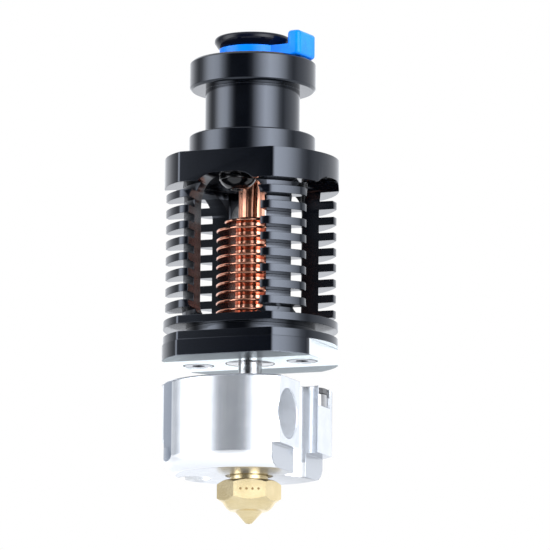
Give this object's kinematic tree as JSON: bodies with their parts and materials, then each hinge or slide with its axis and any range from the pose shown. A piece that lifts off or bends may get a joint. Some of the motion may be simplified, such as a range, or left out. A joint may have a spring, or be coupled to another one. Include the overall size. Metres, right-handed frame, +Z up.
{
  "type": "hotend assembly",
  "caption": "Groove-mount hotend: caged cylindrical heatsink around a finned copper core, round heater block, hexagon nozzle, and a clip-locked tube collet on top.",
  "frame": {"origin": "centre of the groove neck, on the filament axis", "axes": "+Z up the filament axis, away from the nozzle; -Y faces the front flat of the heatsink; the heater bore opens towards +X"},
  "size_m": [0.022, 0.022, 0.0623],
  "materials": {
    "black_anodised": "glossy black anodised",
    "copper": "bright turned copper",
    "stainless": "polished stainless steel",
    "plated_block": "satin nickel plating",
    "brass": "turned brass",
    "black_steel": "black oxide",
    "black_plastic": "glossy moulded",
    "blue_plastic": "glossy moulded"
  },
  "bodies": {
    "heatsink": {"groove_adapter": "black_anodised", "heatsink_body": "black_anodised", "mount_screw_front": "black_steel", "mount_screw_back": "black_steel", "base_plate": "black_anodised", "plate_screw_left": "stainless", "plate_screw_right": "stainless", "copper_core": "copper", "heatbreak": "stainless", "heater_block": "plated_block", "nozzle": "brass", "heater_set_screw": "black_steel", "thermistor_set_screw": "black_steel", "lead_clamp_screw": "black_steel", "lead_clamp_collar": "stainless", "coupling_insert": "brass"},
    "collet": {"collet": "black_plastic", "collet_teeth": "stainless"},
    "clip": {"collet_clip": "blue_plastic"}
  },
  "joints": [
    {"name": "collet_slide", "type": "slide", "parent": "heatsink", "child": "collet", "axis": [0, 0, 1], "range_m": [0, 0.0005]},
    {"name": "clip_slide", "type": "slide", "parent": "heatsink", "child": "clip", "axis": [0.9932, -0.1167, 0], "range_m": [0, 0.012]}
  ]
}
